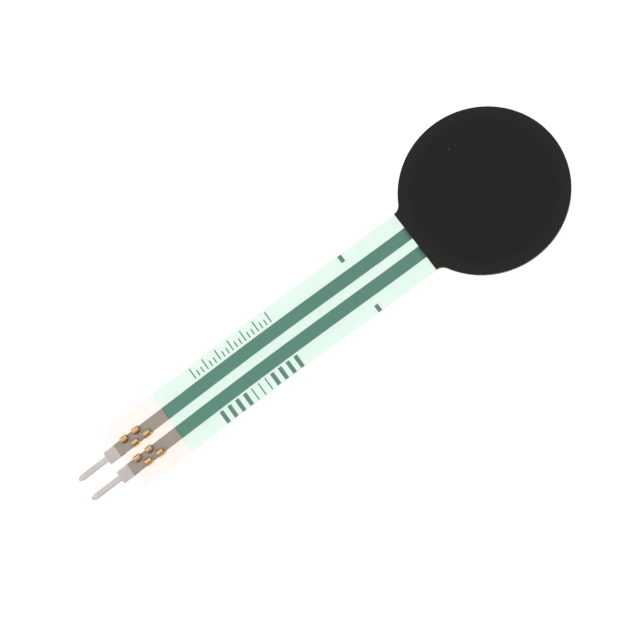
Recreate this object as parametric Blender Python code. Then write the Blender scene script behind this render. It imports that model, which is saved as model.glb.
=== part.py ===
# Force sensing resistor: a round pressure-sensitive head on a flat film tail with two crimped contacts.
# It lies printed side up. The origin is the centre of the head's underside, and the tail runs along -X.

import math

import bmesh
import bpy
import numpy as np
from mathutils import Matrix

MM = 0.001

# Outline of the front film
HEAD_DIAMETER = 18.29 * MM
FILM_LENGTH = 56.34 * MM
TAIL_WIDTH = 7.62 * MM
NECK_FILLET_RADIUS = 1.13 * MM
TAIL_CORNER_RADIUS = 0.25 * MM

# Thickness of each layer
FRONT_FILM_THICKNESS = 0.13 * MM
SILVER_THICKNESS = 0.012 * MM
COAT_THICKNESS = 0.02 * MM
SPACER_THICKNESS = 0.15 * MM
CARBON_THICKNESS = 0.012 * MM
REAR_FILM_THICKNESS = 0.10 * MM
BACKING_THICKNESS = 0.05 * MM
LAYER_GAP = 0.004 * MM

# Sensing area in the head, from the spacer's rim inwards
SPACER_RIM_WIDTH = 1.805 * MM
CARBON_EDGE_CLEARANCE = 0.25 * MM
BUS_EDGE_CLEARANCE = 0.23 * MM
VENT_WIDTH = 1.00 * MM
FINGER_WIDTH = 0.38 * MM
FINGER_GAP = 0.38 * MM
BUS_WIDTH = 0.76 * MM
BUS_END_GAP = 0.80 * MM

# Tracks and coat on the tail
TRACK_PITCH = 2.54 * MM
TRACK_WIDTH = 1.46 * MM
TRACK_END_MARGIN = 0.02 * MM
BARE_END_LENGTH = 6.35 * MM
COAT_HEAD_CLEARANCE = 0.02 * MM

# Crimped contacts, stamped and folded from one strip of sheet. The press squeezes the barbs a little
# thinner than the sheet, so no face of a barb lies in a face of the body that it is joined to.
SHEET_THICKNESS = 0.18 * MM
BARB_THICKNESS = 0.16 * MM
BARBS_PER_CONTACT = 4
BARB_LENGTH = 0.72 * MM
BARB_SPACING = 0.77 * MM
FIRST_BARB_SETBACK = 1.33 * MM
BARB_REACH = 0.82 * MM
BARB_CURL_RADIUS = 0.35 * MM
BARB_CURL_ANGLE = math.radians(205)
BARB_BEND_RADIUS = 0.02 * MM
BARB_ROOT_LENGTH = 0.03 * MM
BARB_SLOT_CLEARANCE = 0.02 * MM
BODY_END_MARGIN = 0.30 * MM
SHOULDER_WIDTH = 1.52 * MM
SHOULDER_OVERLAP = 0.60 * MM
SHOULDER_OVERHANG = 1.385 * MM
SHOULDER_CORNER_RADIUS = 0.12 * MM
PIN_WIDTH = 0.64 * MM
PIN_LENGTH = 3.72 * MM
PIN_TAPER_LENGTH = 0.45 * MM
PIN_TIP_WIDTH = 0.30 * MM
PIN_TIP_RADIUS = 0.12 * MM

# Printed marks on the tail. The ticks are measured from the neck. The two rows start at a setback from
# the coat's end, and each takes its share of the free length between there and the ticks.
TICK_DISTANCE = 7.25 * MM
TICK_WIDTH = 0.46 * MM
TICK_LENGTH = 0.86 * MM
TICK_EDGE_MARGIN = 0.02 * MM
BAR_ROW_SETBACK = 5.00 * MM
BAR_ROW_SHARE = 0.3925
BARS_PER_GROUP = 4
GROUP_GAP_IN_PITCHES = 3.5
BAR_WIDTH = 0.46 * MM
BAR_TRACK_MARGIN = 0.22 * MM
BAR_EDGE_MARGIN = 0.09 * MM
FINE_BAR_COUNT = 3
FINE_STROKE_WIDTH = 0.14 * MM
SCALE_SETBACK = 4.85 * MM
SCALE_SHARE = 0.403
SCALE_MARK_COUNT = 19
SCALE_MARKS_PER_STEP = 3
SCALE_TRACK_MARGIN = 0.30 * MM
SCALE_EDGE_MARGIN = 0.21 * MM
SCALE_SHORT_MARK_SHARE = 0.55

# Bow of the tail: it leaves the head level, rises to its middle and comes down straight on the tips of
# the pins
MIDDLE_RISE = 0.30 * MM
TAIL_END_SLOPE = 0.028
BOW_STEPS = 26

# Smoothness of the round outlines
ARC_STEP = math.radians(2.5)
SMALL_ARC_STEP = math.radians(10)
POINT_MERGE_DISTANCE = 0.00005 * MM
SMOOTH_ANGLE = math.radians(25)

# Places worked out from the sizes above
HEAD_RADIUS = HEAD_DIAMETER / 2
OPENING_RADIUS = HEAD_RADIUS - SPACER_RIM_WIDTH
BUS_OUTER_RADIUS = OPENING_RADIUS - BUS_EDGE_CLEARANCE
BUS_INNER_RADIUS = BUS_OUTER_RADIUS - BUS_WIDTH
TRACK_INNER_Y = TRACK_PITCH / 2 - TRACK_WIDTH / 2
TRACK_OUTER_Y = TRACK_PITCH / 2 + TRACK_WIDTH / 2
FILM_END_X = HEAD_RADIUS - FILM_LENGTH
NECK_FILLET_Y = TAIL_WIDTH / 2 + NECK_FILLET_RADIUS
NECK_X = -math.sqrt((HEAD_RADIUS + NECK_FILLET_RADIUS) ** 2 - NECK_FILLET_Y**2)
COAT_START_X = NECK_X - COAT_HEAD_CLEARANCE
COAT_END_X = FILM_END_X + BARE_END_LENGTH
LAST_BARB_SETBACK = FIRST_BARB_SETBACK + BARB_SPACING * (BARBS_PER_CONTACT - 1)
CONTACT_START_X = FILM_END_X + LAST_BARB_SETBACK + BARB_LENGTH / 2 + BODY_END_MARGIN
SHOULDER_END_X = FILM_END_X - SHOULDER_OVERHANG
PIN_TIP_X = SHOULDER_END_X - PIN_LENGTH
STRAIGHT_X = max(COAT_END_X, CONTACT_START_X)
BOW_STATIONS = [STRAIGHT_X + (NECK_X - STRAIGHT_X) * i / BOW_STEPS for i in range(BOW_STEPS + 1)]

# Heights of the layers where the film lies flat
SILVER_BOTTOM = FRONT_FILM_THICKNESS + LAYER_GAP
SILVER_TOP = SILVER_BOTTOM + SILVER_THICKNESS
COAT_BOTTOM = SILVER_TOP + LAYER_GAP
SPACER_BOTTOM = SILVER_TOP + LAYER_GAP
SPACER_TOP = SPACER_BOTTOM + SPACER_THICKNESS
REAR_FILM_BOTTOM = SPACER_TOP + LAYER_GAP
REAR_FILM_TOP = REAR_FILM_BOTTOM + REAR_FILM_THICKNESS
CARBON_TOP = REAR_FILM_BOTTOM - LAYER_GAP
BACKING_BOTTOM = REAR_FILM_TOP + LAYER_GAP
SHEET_TOP = -LAYER_GAP
SHEET_BOTTOM = SHEET_TOP - SHEET_THICKNESS

# Left is +Y, seen from the pins towards the head
SIDES = {"left": 1, "right": -1}


# Colours are given as they look on the screen, from 0 to 255
def finish(name, colour, roughness, metallic=0.0, alpha=1.0):
    linear = [(c / 255 / 12.92) if c <= 10 else ((c / 255 + 0.055) / 1.055) ** 2.4 for c in colour]
    material = bpy.data.materials.new(name)
    material.use_nodes = True
    shader = material.node_tree.nodes["Principled BSDF"]
    shader.inputs["Base Color"].default_value = (*linear, 1.0)
    shader.inputs["Roughness"].default_value = roughness
    shader.inputs["Metallic"].default_value = metallic
    shader.inputs["Alpha"].default_value = alpha
    material.diffuse_color = (*linear, alpha)
    return material


# Points on an arc, both ends included
def arc(centre, radius, start, end, step=ARC_STEP):
    count = max(2, math.ceil(abs(end - start) / step))
    angles = [start + (end - start) * i / count for i in range(count + 1)]
    return [(centre[0] + radius * math.cos(a), centre[1] + radius * math.sin(a)) for a in angles]


# A polygon whose corners, each given with its radius, are rounded by an arc
def rounded(corners):
    points = []
    for i, (x, y, radius) in enumerate(corners):
        before, after = corners[i - 1], corners[(i + 1) % len(corners)]
        into = math.atan2(y - before[1], x - before[0])
        turn = math.remainder(math.atan2(after[1] - y, after[0] - x) - into, math.tau)
        if radius == 0:
            points.append((x, y))
            continue
        setback = radius * abs(math.tan(turn / 2))
        side = math.copysign(math.pi / 2, turn)
        start = (x - setback * math.cos(into), y - setback * math.sin(into))
        centre = (start[0] + radius * math.cos(into + side), start[1] + radius * math.sin(into + side))
        points += arc(centre, radius, into - side, into - side + turn, SMALL_ARC_STEP)
    return points


# A rectangle along the tail, from x0 to x1 and from y0 to y1
def rectangle(x0, x1, y0, y1):
    return [(x0, y0), (x1, y0), (x1, y1), (x0, y1)]


# A flat sheet: a filled outline with half its thickness to each side of its middle
def flat_sheet(name, outline, bottom, top, collection):
    curve = bpy.data.curves.new(name, "CURVE")
    curve.dimensions = "2D"
    curve.fill_mode = "BOTH"
    curve.extrude = (top - bottom) / 2
    spline = curve.splines.new("POLY")
    spline.points.add(len(outline) - 1)
    for point, (x, y) in zip(spline.points, outline):
        point.co = (x, y, 0, 1)
    spline.use_cyclic_u = True
    sheet = bpy.data.objects.new(name, curve)
    sheet.location.z = (bottom + top) / 2
    collection.objects.link(sheet)
    return sheet


# The mesh of a curve or of an object with modifiers, with its loose caps joined to its sides
def as_mesh(source):
    bpy.context.view_layer.update()
    evaluated = source.evaluated_get(bpy.context.evaluated_depsgraph_get())
    mesh = bpy.data.meshes.new_from_object(evaluated)
    mesh.transform(source.matrix_world)
    name, collection = source.name, source.users_collection[0]
    bpy.data.objects.remove(source)
    work = bmesh.new()
    work.from_mesh(mesh)
    bmesh.ops.remove_doubles(work, verts=work.verts, dist=POINT_MERGE_DISTANCE)
    bmesh.ops.recalc_face_normals(work, faces=work.faces)
    work.to_mesh(mesh)
    work.free()
    solid = bpy.data.objects.new(name, mesh)
    collection.objects.link(solid)
    return solid


# Adds one exact Boolean, with the other solid as its tool
def boolean(target, tool, operation):
    modifier = target.modifiers.new(f"{operation.lower()} {tool.name}", "BOOLEAN")
    modifier.operation = operation
    modifier.solver = "EXACT"
    modifier.object = tool


# Height of the film's underside along the tail. Past the neck it is a cubic that starts level and ends
# at the slope of the straight end, which comes down to the pins' tips with their undersides at zero. A
# smooth swell that is level at both ends lifts the middle.
def bow_height(x):
    straight_height = -SHEET_BOTTOM + TAIL_END_SLOPE * (STRAIGHT_X - PIN_TIP_X)
    if x <= STRAIGHT_X:
        return straight_height - TAIL_END_SLOPE * (STRAIGHT_X - x)
    span = NECK_X - STRAIGHT_X
    t = (NECK_X - x) / span
    swell = MIDDLE_RISE * 16 * t**2 * (1 - t) ** 2
    return straight_height * (3 * t**2 - 2 * t**3) + TAIL_END_SLOPE * span * (t**2 - t**3) + swell


# Bends a finished flat piece with the tail. Every piece is cut at the same stations and is raised in
# straight lines between them, so the layers stay parallel.
def bow(solid):
    work = bmesh.new()
    work.from_mesh(solid.data)
    bmesh.ops.triangulate(work, faces=work.faces)
    for x in BOW_STATIONS:
        everything = work.verts[:] + work.edges[:] + work.faces[:]
        bmesh.ops.bisect_plane(
            work, geom=everything, dist=POINT_MERGE_DISTANCE, plane_co=(x, 0, 0), plane_no=(1, 0, 0)
        )
    stations = [PIN_TIP_X, *BOW_STATIONS]
    heights = [bow_height(x) for x in stations]
    for vertex in work.verts:
        vertex.co.z += np.interp(vertex.co.x, stations, heights)
    work.to_mesh(solid.data)
    work.free()


# Gives a solid its finish and its shading
def dress(solid, material):
    solid.data.materials.clear()
    solid.data.materials.append(material)
    solid.data.shade_smooth()
    solid.data.set_sharp_from_angle(angle=SMOOTH_ANGLE)


# Outline of the round head from its right neck corner to its left one, with both neck fillets
def head_outline():
    fillet_angle = math.atan2(NECK_FILLET_Y, NECK_X)
    touch_down = math.pi / 2
    right = arc((NECK_X, -NECK_FILLET_Y), NECK_FILLET_RADIUS, touch_down, math.pi - fillet_angle, SMALL_ARC_STEP)
    round_edge = arc((0, 0), HEAD_RADIUS, -fillet_angle, fillet_angle)
    left = [(x, -y) for x, y in reversed(right)]
    return right + round_edge[1:-1] + left


def make_front_film(collection):
    tail_end = rounded([
        (NECK_X, TAIL_WIDTH / 2, 0),
        (FILM_END_X, TAIL_WIDTH / 2, TAIL_CORNER_RADIUS),
        (FILM_END_X, -TAIL_WIDTH / 2, TAIL_CORNER_RADIUS),
        (NECK_X, -TAIL_WIDTH / 2, 0),
    ])
    return flat_sheet("front_film", head_outline() + tail_end[1:-1], 0, FRONT_FILM_THICKNESS, collection)


# One conductor is a straight track, a bus arc round its half of the sensing area, and fingers that
# reach across between the other conductor's fingers. The left one is drawn, and the right one turned over.
def electrode_outline(parity):
    inner = BUS_INNER_RADIUS
    outer = BUS_OUTER_RADIUS
    end_x = FILM_END_X + TRACK_END_MARGIN
    finger_pitch = FINGER_WIDTH + FINGER_GAP
    finger_count = 2 * math.floor(inner / finger_pitch)
    outline = [(end_x, TRACK_OUTER_Y), (end_x, TRACK_INNER_Y)]
    angle = math.pi - math.asin(TRACK_INNER_Y / inner)
    for i in range(finger_count):
        if i % 2 != parity:
            continue
        middle = (i - (finger_count - 1) / 2) * finger_pitch
        near, far = middle - FINGER_WIDTH / 2, middle + FINGER_WIDTH / 2
        wide = max(abs(near), abs(far))
        tip_y = FINGER_GAP - math.sqrt(inner**2 - wide**2)
        outline += arc((0, 0), inner, angle, math.acos(near / inner))
        outline += [(near, tip_y), (far, tip_y)]
        angle = math.acos(far / inner)
    outline += arc((0, 0), inner, angle, math.asin(BUS_END_GAP / 2 / inner))
    outline += arc((0, 0), outer, math.asin(BUS_END_GAP / 2 / outer), math.pi - math.asin(TRACK_OUTER_Y / outer))
    return outline


def make_electrode(side, collection):
    left = SIDES[side] > 0
    outline = electrode_outline(0 if left else 1)
    if not left:
        outline = [(x, -y) for x, y in reversed(outline)]
    return flat_sheet(f"electrode_{side}", outline, SILVER_BOTTOM, SILVER_TOP, collection)


def make_tail_coat(collection):
    outline = rectangle(COAT_END_X, COAT_START_X, -TAIL_WIDTH / 2, TAIL_WIDTH / 2)
    return flat_sheet("tail_coat", outline, COAT_BOTTOM, COAT_BOTTOM + COAT_THICKNESS, collection)


# The ring's opening runs out to the tail side as a narrow vent between the tracks
def make_spacer_ring(collection):
    vent_angle = math.pi - math.asin(VENT_WIDTH / 2 / OPENING_RADIUS)
    inner_edge = arc((0, 0), OPENING_RADIUS, vent_angle, -vent_angle)
    outline = head_outline() + [(NECK_X, VENT_WIDTH / 2)] + inner_edge + [(NECK_X, -VENT_WIDTH / 2)]
    return flat_sheet("spacer_ring", outline, SPACER_BOTTOM, SPACER_TOP, collection)


def make_carbon_layer(collection):
    outline = arc((0, 0), OPENING_RADIUS - CARBON_EDGE_CLEARANCE, 0, math.tau)[:-1]
    return flat_sheet("carbon_layer", outline, CARBON_TOP - CARBON_THICKNESS, CARBON_TOP, collection)


def make_rear_film(collection):
    return flat_sheet("rear_film", head_outline(), REAR_FILM_BOTTOM, REAR_FILM_TOP, collection)


def make_backing_sheet(collection):
    top = BACKING_BOTTOM + BACKING_THICKNESS
    return flat_sheet("backing_sheet", head_outline(), BACKING_BOTTOM, top, collection)


# Middle of each barb along the tail and the edge that it stands on, which alternates
def barb_places():
    for i in range(BARBS_PER_CONTACT):
        yield FILM_END_X + FIRST_BARB_SETBACK + BARB_SPACING * i, (1 if i % 2 == 0 else -1)


# Section of one barb: out of the contact's flat body, up through the film and round in a curl that
# comes down on the track. The first number is the distance from the middle of the track.
def barb_section():
    inset = (SHEET_THICKNESS - BARB_THICKNESS) / 2
    outer_bend = BARB_BEND_RADIUS + BARB_THICKNESS
    bend_centre = (BARB_REACH - outer_bend, SHEET_TOP - inset + BARB_BEND_RADIUS)
    drop = BARB_CURL_RADIUS * math.sin(BARB_CURL_ANGLE - math.pi)
    curl_centre = (BARB_REACH - BARB_CURL_RADIUS, SILVER_TOP + LAYER_GAP + drop)
    outside = arc(bend_centre, outer_bend, -math.pi / 2, 0, SMALL_ARC_STEP)
    outside += arc(curl_centre, BARB_CURL_RADIUS, 0, BARB_CURL_ANGLE, SMALL_ARC_STEP)
    inside = arc(curl_centre, BARB_CURL_RADIUS - BARB_THICKNESS, BARB_CURL_ANGLE, 0, SMALL_ARC_STEP)
    inside += arc(bend_centre, BARB_BEND_RADIUS, 0, -math.pi / 2, SMALL_ARC_STEP)
    root = bend_centre[0] / 2
    return [(root, SHEET_BOTTOM + inset)] + outside + inside + [(root, SHEET_TOP - inset)]


def make_contact(side, collection):
    track_y = SIDES[side] * TRACK_PITCH / 2
    body = BARB_REACH - BARB_BEND_RADIUS - BARB_THICKNESS - BARB_ROOT_LENGTH
    shoulder = SHOULDER_WIDTH / 2
    pin = PIN_WIDTH / 2
    tip = PIN_TIP_WIDTH / 2
    corner = SHOULDER_CORNER_RADIUS
    shoulder_start = FILM_END_X + SHOULDER_OVERLAP
    taper_x = PIN_TIP_X + PIN_TAPER_LENGTH
    half = rounded([
        (PIN_TIP_X, 0, 0),
        (PIN_TIP_X, tip, PIN_TIP_RADIUS),
        (taper_x, pin, pin),
        (SHOULDER_END_X, pin, corner),
        (SHOULDER_END_X, shoulder, corner),
        (shoulder_start, shoulder, 0),
        (shoulder_start, body, 0),
        (CONTACT_START_X, body, corner),
        (CONTACT_START_X, 0, 0),
    ])
    outline = half[1:-1] + [(x, -y) for x, y in reversed(half[1:-1])]
    outline = [(x, y + track_y) for x, y in outline]
    contact = as_mesh(flat_sheet(f"contact_{side}", outline, SHEET_BOTTOM, SHEET_TOP, collection))
    blanks = []
    for number, (x, edge) in enumerate(barb_places(), 1):
        section = [(edge * d, z) for d, z in barb_section()]
        blank = flat_sheet(f"barb_{side}_{number}", section, 0, BARB_LENGTH, collection)
        blank.matrix_world = Matrix((
            (0, 0, 1, x),
            (1, 0, 0, track_y),
            (0, 1, 0, 0),
            (0, 0, 0, 1),
        ))
        blank = as_mesh(blank)
        boolean(contact, blank, "UNION")
        blanks.append(blank)
    contact = as_mesh(contact)
    for blank in blanks:
        bpy.data.objects.remove(blank)
    return contact


# Boxes that clear each barb where it stands up through the film and the edge of the track
def make_slot_cutters(cutters):
    slots = []
    inner = BARB_REACH - BARB_THICKNESS - BARB_BEND_RADIUS - BARB_SLOT_CLEARANCE
    outer = BARB_REACH + BARB_SLOT_CLEARANCE
    length = BARB_LENGTH + 2 * BARB_SLOT_CLEARANCE
    height = 2 * (SILVER_TOP + SHEET_THICKNESS)
    for side, sign in SIDES.items():
        for number, (x, edge) in enumerate(barb_places(), 1):
            bpy.ops.mesh.primitive_cube_add(size=1)
            slot = bpy.context.object
            slot.name = f"slot_{side}_{number}"
            slot.scale = (length, outer - inner, height)
            slot.location = (x, sign * TRACK_PITCH / 2 + edge * (inner + outer) / 2, 0)
            slot.hide_render = True
            slot.display_type = "WIRE"
            for collection in slot.users_collection:
                collection.objects.unlink(slot)
            cutters.objects.link(slot)
            slots.append(slot)
    return slots


def make_marks(collection):
    marks = []

    # A printed stroke across the tail: x is its middle, and y0 and y1 are its ends
    def stroke(name, x, width, y0, y1):
        outline = rectangle(x - width / 2, x + width / 2, min(y0, y1), max(y0, y1))
        marks.append(flat_sheet(name, outline, SILVER_BOTTOM, SILVER_TOP, collection))

    tail_edge = TAIL_WIDTH / 2
    tick_end = tail_edge - TICK_EDGE_MARGIN
    tick_x = NECK_X - TICK_DISTANCE
    for side, sign in SIDES.items():
        stroke(f"index_tick_{side}", tick_x, TICK_WIDTH, sign * tick_end, sign * (tick_end - TICK_LENGTH))

    bar_foot = -(TRACK_OUTER_Y + BAR_TRACK_MARGIN)
    bar_head = -(tail_edge - BAR_EDGE_MARGIN)
    bar_row_x = COAT_END_X + BAR_ROW_SETBACK
    free_length = tick_x - COAT_END_X
    bar_pitch = BAR_ROW_SHARE * free_length / (2 * (BARS_PER_GROUP - 1) + GROUP_GAP_IN_PITCHES)
    group_step = (BARS_PER_GROUP - 1 + GROUP_GAP_IN_PITCHES) * bar_pitch
    for number in range(2 * BARS_PER_GROUP):
        group, place = divmod(number, BARS_PER_GROUP)
        x = bar_row_x + group * group_step + place * bar_pitch
        stroke(f"code_bar_{number + 1}", x, BAR_WIDTH, bar_foot, bar_head)

    fine_pitch = GROUP_GAP_IN_PITCHES * bar_pitch / (FINE_BAR_COUNT + 1)
    fine_row_x = bar_row_x + (BARS_PER_GROUP - 1) * bar_pitch
    for number in range(1, FINE_BAR_COUNT + 1):
        x = fine_row_x + number * fine_pitch
        stroke(f"fine_bar_{number}", x, FINE_STROKE_WIDTH, bar_foot, bar_head)

    scale_foot = TRACK_OUTER_Y + SCALE_TRACK_MARGIN
    long_mark = tail_edge - SCALE_EDGE_MARGIN - scale_foot
    scale_pitch = SCALE_SHARE * free_length / (SCALE_MARK_COUNT - 1)
    for number in range(SCALE_MARK_COUNT):
        length = long_mark * SCALE_SHORT_MARK_SHARE if number % SCALE_MARKS_PER_STEP else long_mark
        x = COAT_END_X + SCALE_SETBACK + number * scale_pitch
        name = f"scale_mark_{number + 1:02d}"
        stroke(name, x, FINE_STROKE_WIDTH, scale_foot, scale_foot + length)
    return marks


def new_collection(name):
    collection = bpy.data.collections.new(name)
    bpy.context.scene.collection.children.link(collection)
    return collection


def main():
    for old in list(bpy.data.objects):
        bpy.data.objects.remove(old)
    parts = new_collection("force_sensing_resistor")
    cutters = new_collection("cutters")

    clear_film = finish("clear film", (248, 242, 234), 0.15, alpha=0.35)
    silver = finish("silver ink", (163, 152, 141), 0.45, metallic=0.6)
    green_coat = finish("mint coat", (231, 249, 239), 0.30, alpha=0.60)
    adhesive = finish("spacer adhesive", (232, 228, 214), 0.60, alpha=0.70)
    carbon = finish("carbon ink", (30, 30, 31), 0.75)
    backing = finish("black backing", (41, 41, 39), 0.80)
    plating = finish("tin plate", (200, 193, 191), 0.35, metallic=0.9)

    slots = make_slot_cutters(cutters)
    front_film = as_mesh(make_front_film(parts))
    electrodes = [as_mesh(make_electrode(side, parts)) for side in SIDES]
    for sheet in [front_film, *electrodes]:
        for slot in slots:
            boolean(sheet, slot, "DIFFERENCE")
    front_film = as_mesh(front_film)
    electrodes = [as_mesh(electrode) for electrode in electrodes]
    coat = as_mesh(make_tail_coat(parts))
    marks = [as_mesh(mark) for mark in make_marks(parts)]
    contacts = [make_contact(side, parts) for side in SIDES]
    for piece in [front_film, *electrodes, coat, *marks, *contacts]:
        bow(piece)

    dress(front_film, clear_film)
    dress(coat, green_coat)
    for piece in [*electrodes, *marks]:
        dress(piece, silver)
    for contact in contacts:
        dress(contact, plating)
    dress(as_mesh(make_spacer_ring(parts)), adhesive)
    dress(as_mesh(make_carbon_layer(parts)), carbon)
    dress(as_mesh(make_rear_film(parts)), clear_film)
    dress(as_mesh(make_backing_sheet(parts)), backing)


main()
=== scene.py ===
import math

import bmesh
import bpy
import numpy as np
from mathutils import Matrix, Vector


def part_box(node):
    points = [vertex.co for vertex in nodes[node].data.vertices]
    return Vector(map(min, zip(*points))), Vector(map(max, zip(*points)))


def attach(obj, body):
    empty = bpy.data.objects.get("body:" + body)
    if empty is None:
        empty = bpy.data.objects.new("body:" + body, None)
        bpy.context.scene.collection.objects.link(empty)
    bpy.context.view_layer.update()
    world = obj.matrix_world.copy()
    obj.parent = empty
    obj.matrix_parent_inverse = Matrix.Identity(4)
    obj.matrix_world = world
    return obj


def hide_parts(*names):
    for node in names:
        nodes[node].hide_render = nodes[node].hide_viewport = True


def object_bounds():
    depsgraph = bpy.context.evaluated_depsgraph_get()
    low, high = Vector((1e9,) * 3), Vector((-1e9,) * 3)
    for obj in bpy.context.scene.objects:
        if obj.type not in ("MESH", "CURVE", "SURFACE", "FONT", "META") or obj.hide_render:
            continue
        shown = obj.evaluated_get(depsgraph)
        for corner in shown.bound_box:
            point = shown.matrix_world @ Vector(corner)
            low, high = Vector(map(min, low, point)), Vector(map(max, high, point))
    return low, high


mm = 0.001

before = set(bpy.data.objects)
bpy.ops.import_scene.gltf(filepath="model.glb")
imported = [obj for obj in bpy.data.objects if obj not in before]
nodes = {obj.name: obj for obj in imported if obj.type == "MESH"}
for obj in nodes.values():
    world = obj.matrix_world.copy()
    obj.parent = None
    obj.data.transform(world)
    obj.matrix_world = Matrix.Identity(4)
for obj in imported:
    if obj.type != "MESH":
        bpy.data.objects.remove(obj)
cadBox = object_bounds()
print("frame loaded,", len(nodes), "solids")

# Where things are, read from the solids themselves
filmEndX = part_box("front_film")[0].x
backingLow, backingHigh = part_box("backing_sheet")
spacerLow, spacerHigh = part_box("spacer_ring")
coatLow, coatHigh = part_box("tail_coat")
contactLow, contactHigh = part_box("contact_left")
headRadius = backingHigh.y
neckX = spacerLow.x
coatEndX = coatLow.x
tailHalfWidth = coatHigh.y
pinTipX = contactLow.x
bodyEndX = contactHigh.x


# Camera

cameraSetup = {
    "place": (-17.38 * mm, -79.33 * mm, 261.03 * mm),
    "turn": (13.044, 10.732, -35.515),  # degrees
    "lens": 146.25,
    "nearest": 0.005,
    "farthest": 10,
}


def makeCamera():
    data = bpy.data.cameras.new("studioCamera")
    data.lens = cameraSetup["lens"]
    data.clip_start = cameraSetup["nearest"]
    data.clip_end = cameraSetup["farthest"]
    camera = bpy.data.objects.new("studioCamera", data)
    camera.location = cameraSetup["place"]
    camera.rotation_euler = [math.radians(angle) for angle in cameraSetup["turn"]]
    bpy.context.scene.collection.objects.link(camera)
    bpy.context.scene.camera = camera


makeCamera()
print("camera placed")


# Small helpers for node trees

# A socket takes either a link from another socket or a plain value
def feed(tree, socket, value):
    if isinstance(value, bpy.types.NodeSocket):
        tree.links.new(value, socket)
    else:
        socket.default_value = value


# A new node with some of its inputs and settings filled in
def addNode(tree, kind, inputs=None, **settings):
    node = tree.nodes.new(kind)
    for name, value in settings.items():
        setattr(node, name, value)
    for name, value in (inputs or {}).items():
        feed(tree, node.inputs[name], value)
    return node


# One arithmetic step on two values or sockets
def calc(tree, operation, a, b=0.0):
    return addNode(tree, "ShaderNodeMath", {0: a, 1: b}, operation=operation).outputs[0]


# How far apart two values are
def apart(tree, a, b):
    return calc(tree, "ABSOLUTE", calc(tree, "SUBTRACT", a, b))


# A value carried from one range to another, held at both ends
def spread(tree, value, fromLow, fromHigh, toLow=0.0, toHigh=1.0, smooth=False):
    node = addNode(tree, "ShaderNodeMapRange", {
        "Value": value, "From Min": fromLow, "From Max": fromHigh, "To Min": toLow, "To Max": toHigh,
    }, interpolation_type="SMOOTHSTEP" if smooth else "LINEAR")
    return node.outputs["Result"]


# A noise hardly ever leaves the range from 0.3 to 0.7, so that range is the one carried to another
def noiseTo(tree, noise, low=0.0, high=1.0):
    return spread(tree, noise, 0.3, 0.7, low, high)


# Two noises added by shares that make up one
def mixNoise(tree, share, first, second):
    return calc(tree, "ADD", calc(tree, "MULTIPLY", first, share), calc(tree, "MULTIPLY", second, 1 - share))


# A colour as it looks on the screen, 0 to 255, in the light values that shaders want
def screen(red, green, blue):
    shares = np.array([red, green, blue]) / 255
    light = np.where(shares <= 0.04045, shares / 12.92, ((shares + 0.055) / 1.055) ** 2.4)
    return (*[float(value) for value in light], 1.0)


# Two colours mixed by a share
def blendColours(tree, share, first, second):
    node = addNode(tree, "ShaderNodeMix", {0: share, 6: first, 7: second}, data_type="RGBA")
    return node.outputs[2]


# A noise on the object's own coordinates, with its grain size in millimetres and its stretch along X
def grain(tree, size, stretch=1.0, detail=2.0, roughness=0.5):
    coordinates = addNode(tree, "ShaderNodeTexCoord").outputs["Object"]
    mapping = addNode(tree, "ShaderNodeMapping", {"Vector": coordinates, "Scale": (1 / stretch, 1.0, 1.0)})
    noise = addNode(tree, "ShaderNodeTexNoise", {
        "Vector": mapping.outputs[0], "Scale": 1 / (size * mm), "Detail": detail, "Roughness": roughness,
    })
    return noise.outputs["Fac"]


# The place on the object as three separate numbers, in metres
def places(tree):
    coordinates = addNode(tree, "ShaderNodeTexCoord").outputs["Object"]
    return addNode(tree, "ShaderNodeSeparateXYZ", {0: coordinates}).outputs


# The way that a face looks as three separate numbers, of which the last is 1 for a face that looks up
def facing(tree):
    normal = addNode(tree, "ShaderNodeTexCoord").outputs["Normal"]
    return addNode(tree, "ShaderNodeSeparateXYZ", {0: normal}).outputs


# A bump of a given depth in millimetres
def bump(tree, height, depth, strength):
    node = addNode(tree, "ShaderNodeBump", {"Height": height, "Distance": depth * mm, "Strength": strength})
    return node.outputs[0]


# A material with one Principled shader, and its tree
def newMaterial(name):
    material = bpy.data.materials.new(name)
    material.use_nodes = True
    tree = material.node_tree
    return material, tree, tree.nodes["Principled BSDF"], tree.nodes["Material Output"]


def setSockets(tree, shader, **values):
    names = {
        "colour": "Base Color", "roughness": "Roughness", "metal": "Metallic", "normal": "Normal",
        "gloss": "Specular IOR Level",
    }
    for key, value in values.items():
        feed(tree, shader.inputs[names[key]], value)


# A see-through layer: light passes with a tint, some of it is mirrored by the gloss, and a share of the
# layer's own body shows on top. The mirrored share is least face on and grows with the fifth power of
# the slant, by the same amount on the way in and on the way out.
slantPower = 5.0
grazingMirror = 0.5


def seeThrough(tree, body, output, tint, glossRoughness, mirrorShare, bodyShare, normal):
    clear = addNode(tree, "ShaderNodeBsdfTransparent", {"Color": tint})
    gloss = addNode(tree, "ShaderNodeBsdfGlossy", {"Roughness": glossRoughness, "Normal": normal})
    slant = addNode(tree, "ShaderNodeLayerWeight", {"Blend": 0.5, "Normal": normal}).outputs["Facing"]
    mirrored = spread(tree, calc(tree, "POWER", slant, slantPower), 0.0, 1.0, mirrorShare, grazingMirror)
    glass = addNode(tree, "ShaderNodeMixShader", {0: mirrored, 1: clear.outputs[0], 2: gloss.outputs[0]})
    whole = addNode(tree, "ShaderNodeMixShader", {0: bodyShare, 1: glass.outputs[0], 2: body.outputs[0]})
    tree.links.new(whole.outputs[0], output.inputs["Surface"])


# Floor, lamps and world

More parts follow.
